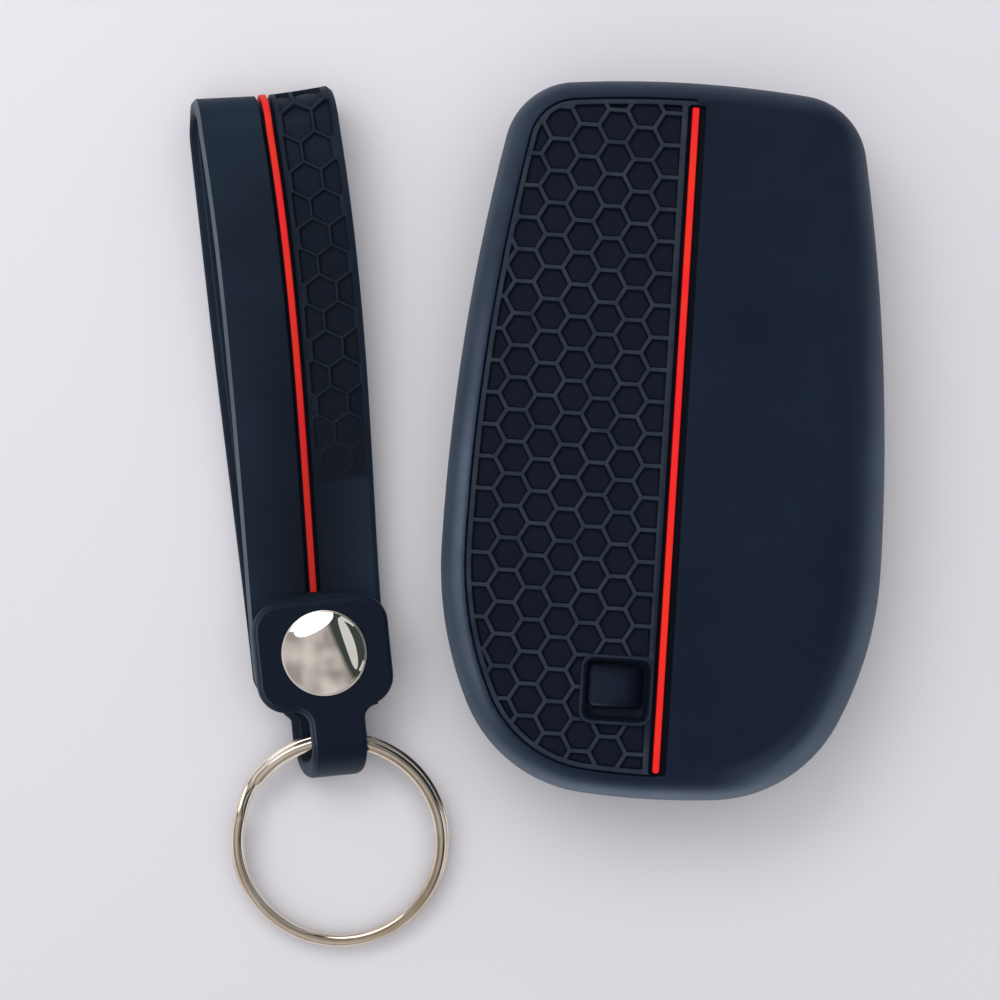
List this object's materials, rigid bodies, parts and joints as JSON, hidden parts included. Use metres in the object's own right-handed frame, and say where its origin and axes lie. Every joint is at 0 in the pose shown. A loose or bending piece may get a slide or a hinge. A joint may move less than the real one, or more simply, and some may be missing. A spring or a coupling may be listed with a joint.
{
  "type": "key fob cover",
  "caption": "Moulded silicone key fob cover with honeycomb relief and an inlaid stripe, with a matching looped strap, snap and split ring.",
  "frame": {"origin": "middle of the opening in the cover's back, on the plane that the cover lies on", "axes": "+Y to the cover's top end, +Z out of its front face, +X to the right seen from the front; the strap lies on its left"},
  "size_m": [0.0802, 0.0992, 0.0159],
  "materials": {
    "silicone": "soft satin moulding, navy black",
    "red_silicone": "soft satin, bright red",
    "polished_nickel": "mirror polished nickel plate",
    "plated_steel": "bright plated pressed steel",
    "ring_nickel": "nickel plated spring wire"
  },
  "bodies": {
    "cover": {"cover_shell": "silicone", "cover_stripe": "red_silicone"},
    "button": {"button_pad": "silicone"},
    "strap": {"strap_band": "silicone", "strap_stripe": "red_silicone", "snap_stud": "plated_steel", "snap_post": "plated_steel"},
    "tab": {"keeper_tab": "silicone", "snap_cap": "polished_nickel", "snap_socket": "plated_steel", "snap_spring": "plated_steel"},
    "ring": {"split_ring": "ring_nickel"}
  },
  "joints": [
    {"name": "button_press", "type": "slide", "parent": "cover", "child": "button", "axis": [0, 0, -1], "range_m": [0, 0.0004], "stiffness_N_per_m": 2500},
    {"name": "strap_lift", "type": "slide", "parent": "cover", "child": "strap", "axis": [0, 0, 1], "range_m": [0, 0.03]},
    {"name": "tab_open", "type": "hinge", "parent": "strap", "child": "tab", "pos_m": [-0.03432, -0.03971, 0.0039], "axis": [0.9869, 0.1616, 0], "range_deg": [0, 120]},
    {"name": "ring_swing", "type": "hinge", "parent": "strap", "child": "ring", "pos_m": [-0.03495, -0.03587, 0.0039], "axis": [-0.9869, -0.1616, 0], "range_deg": [0, 150]}
  ]
}
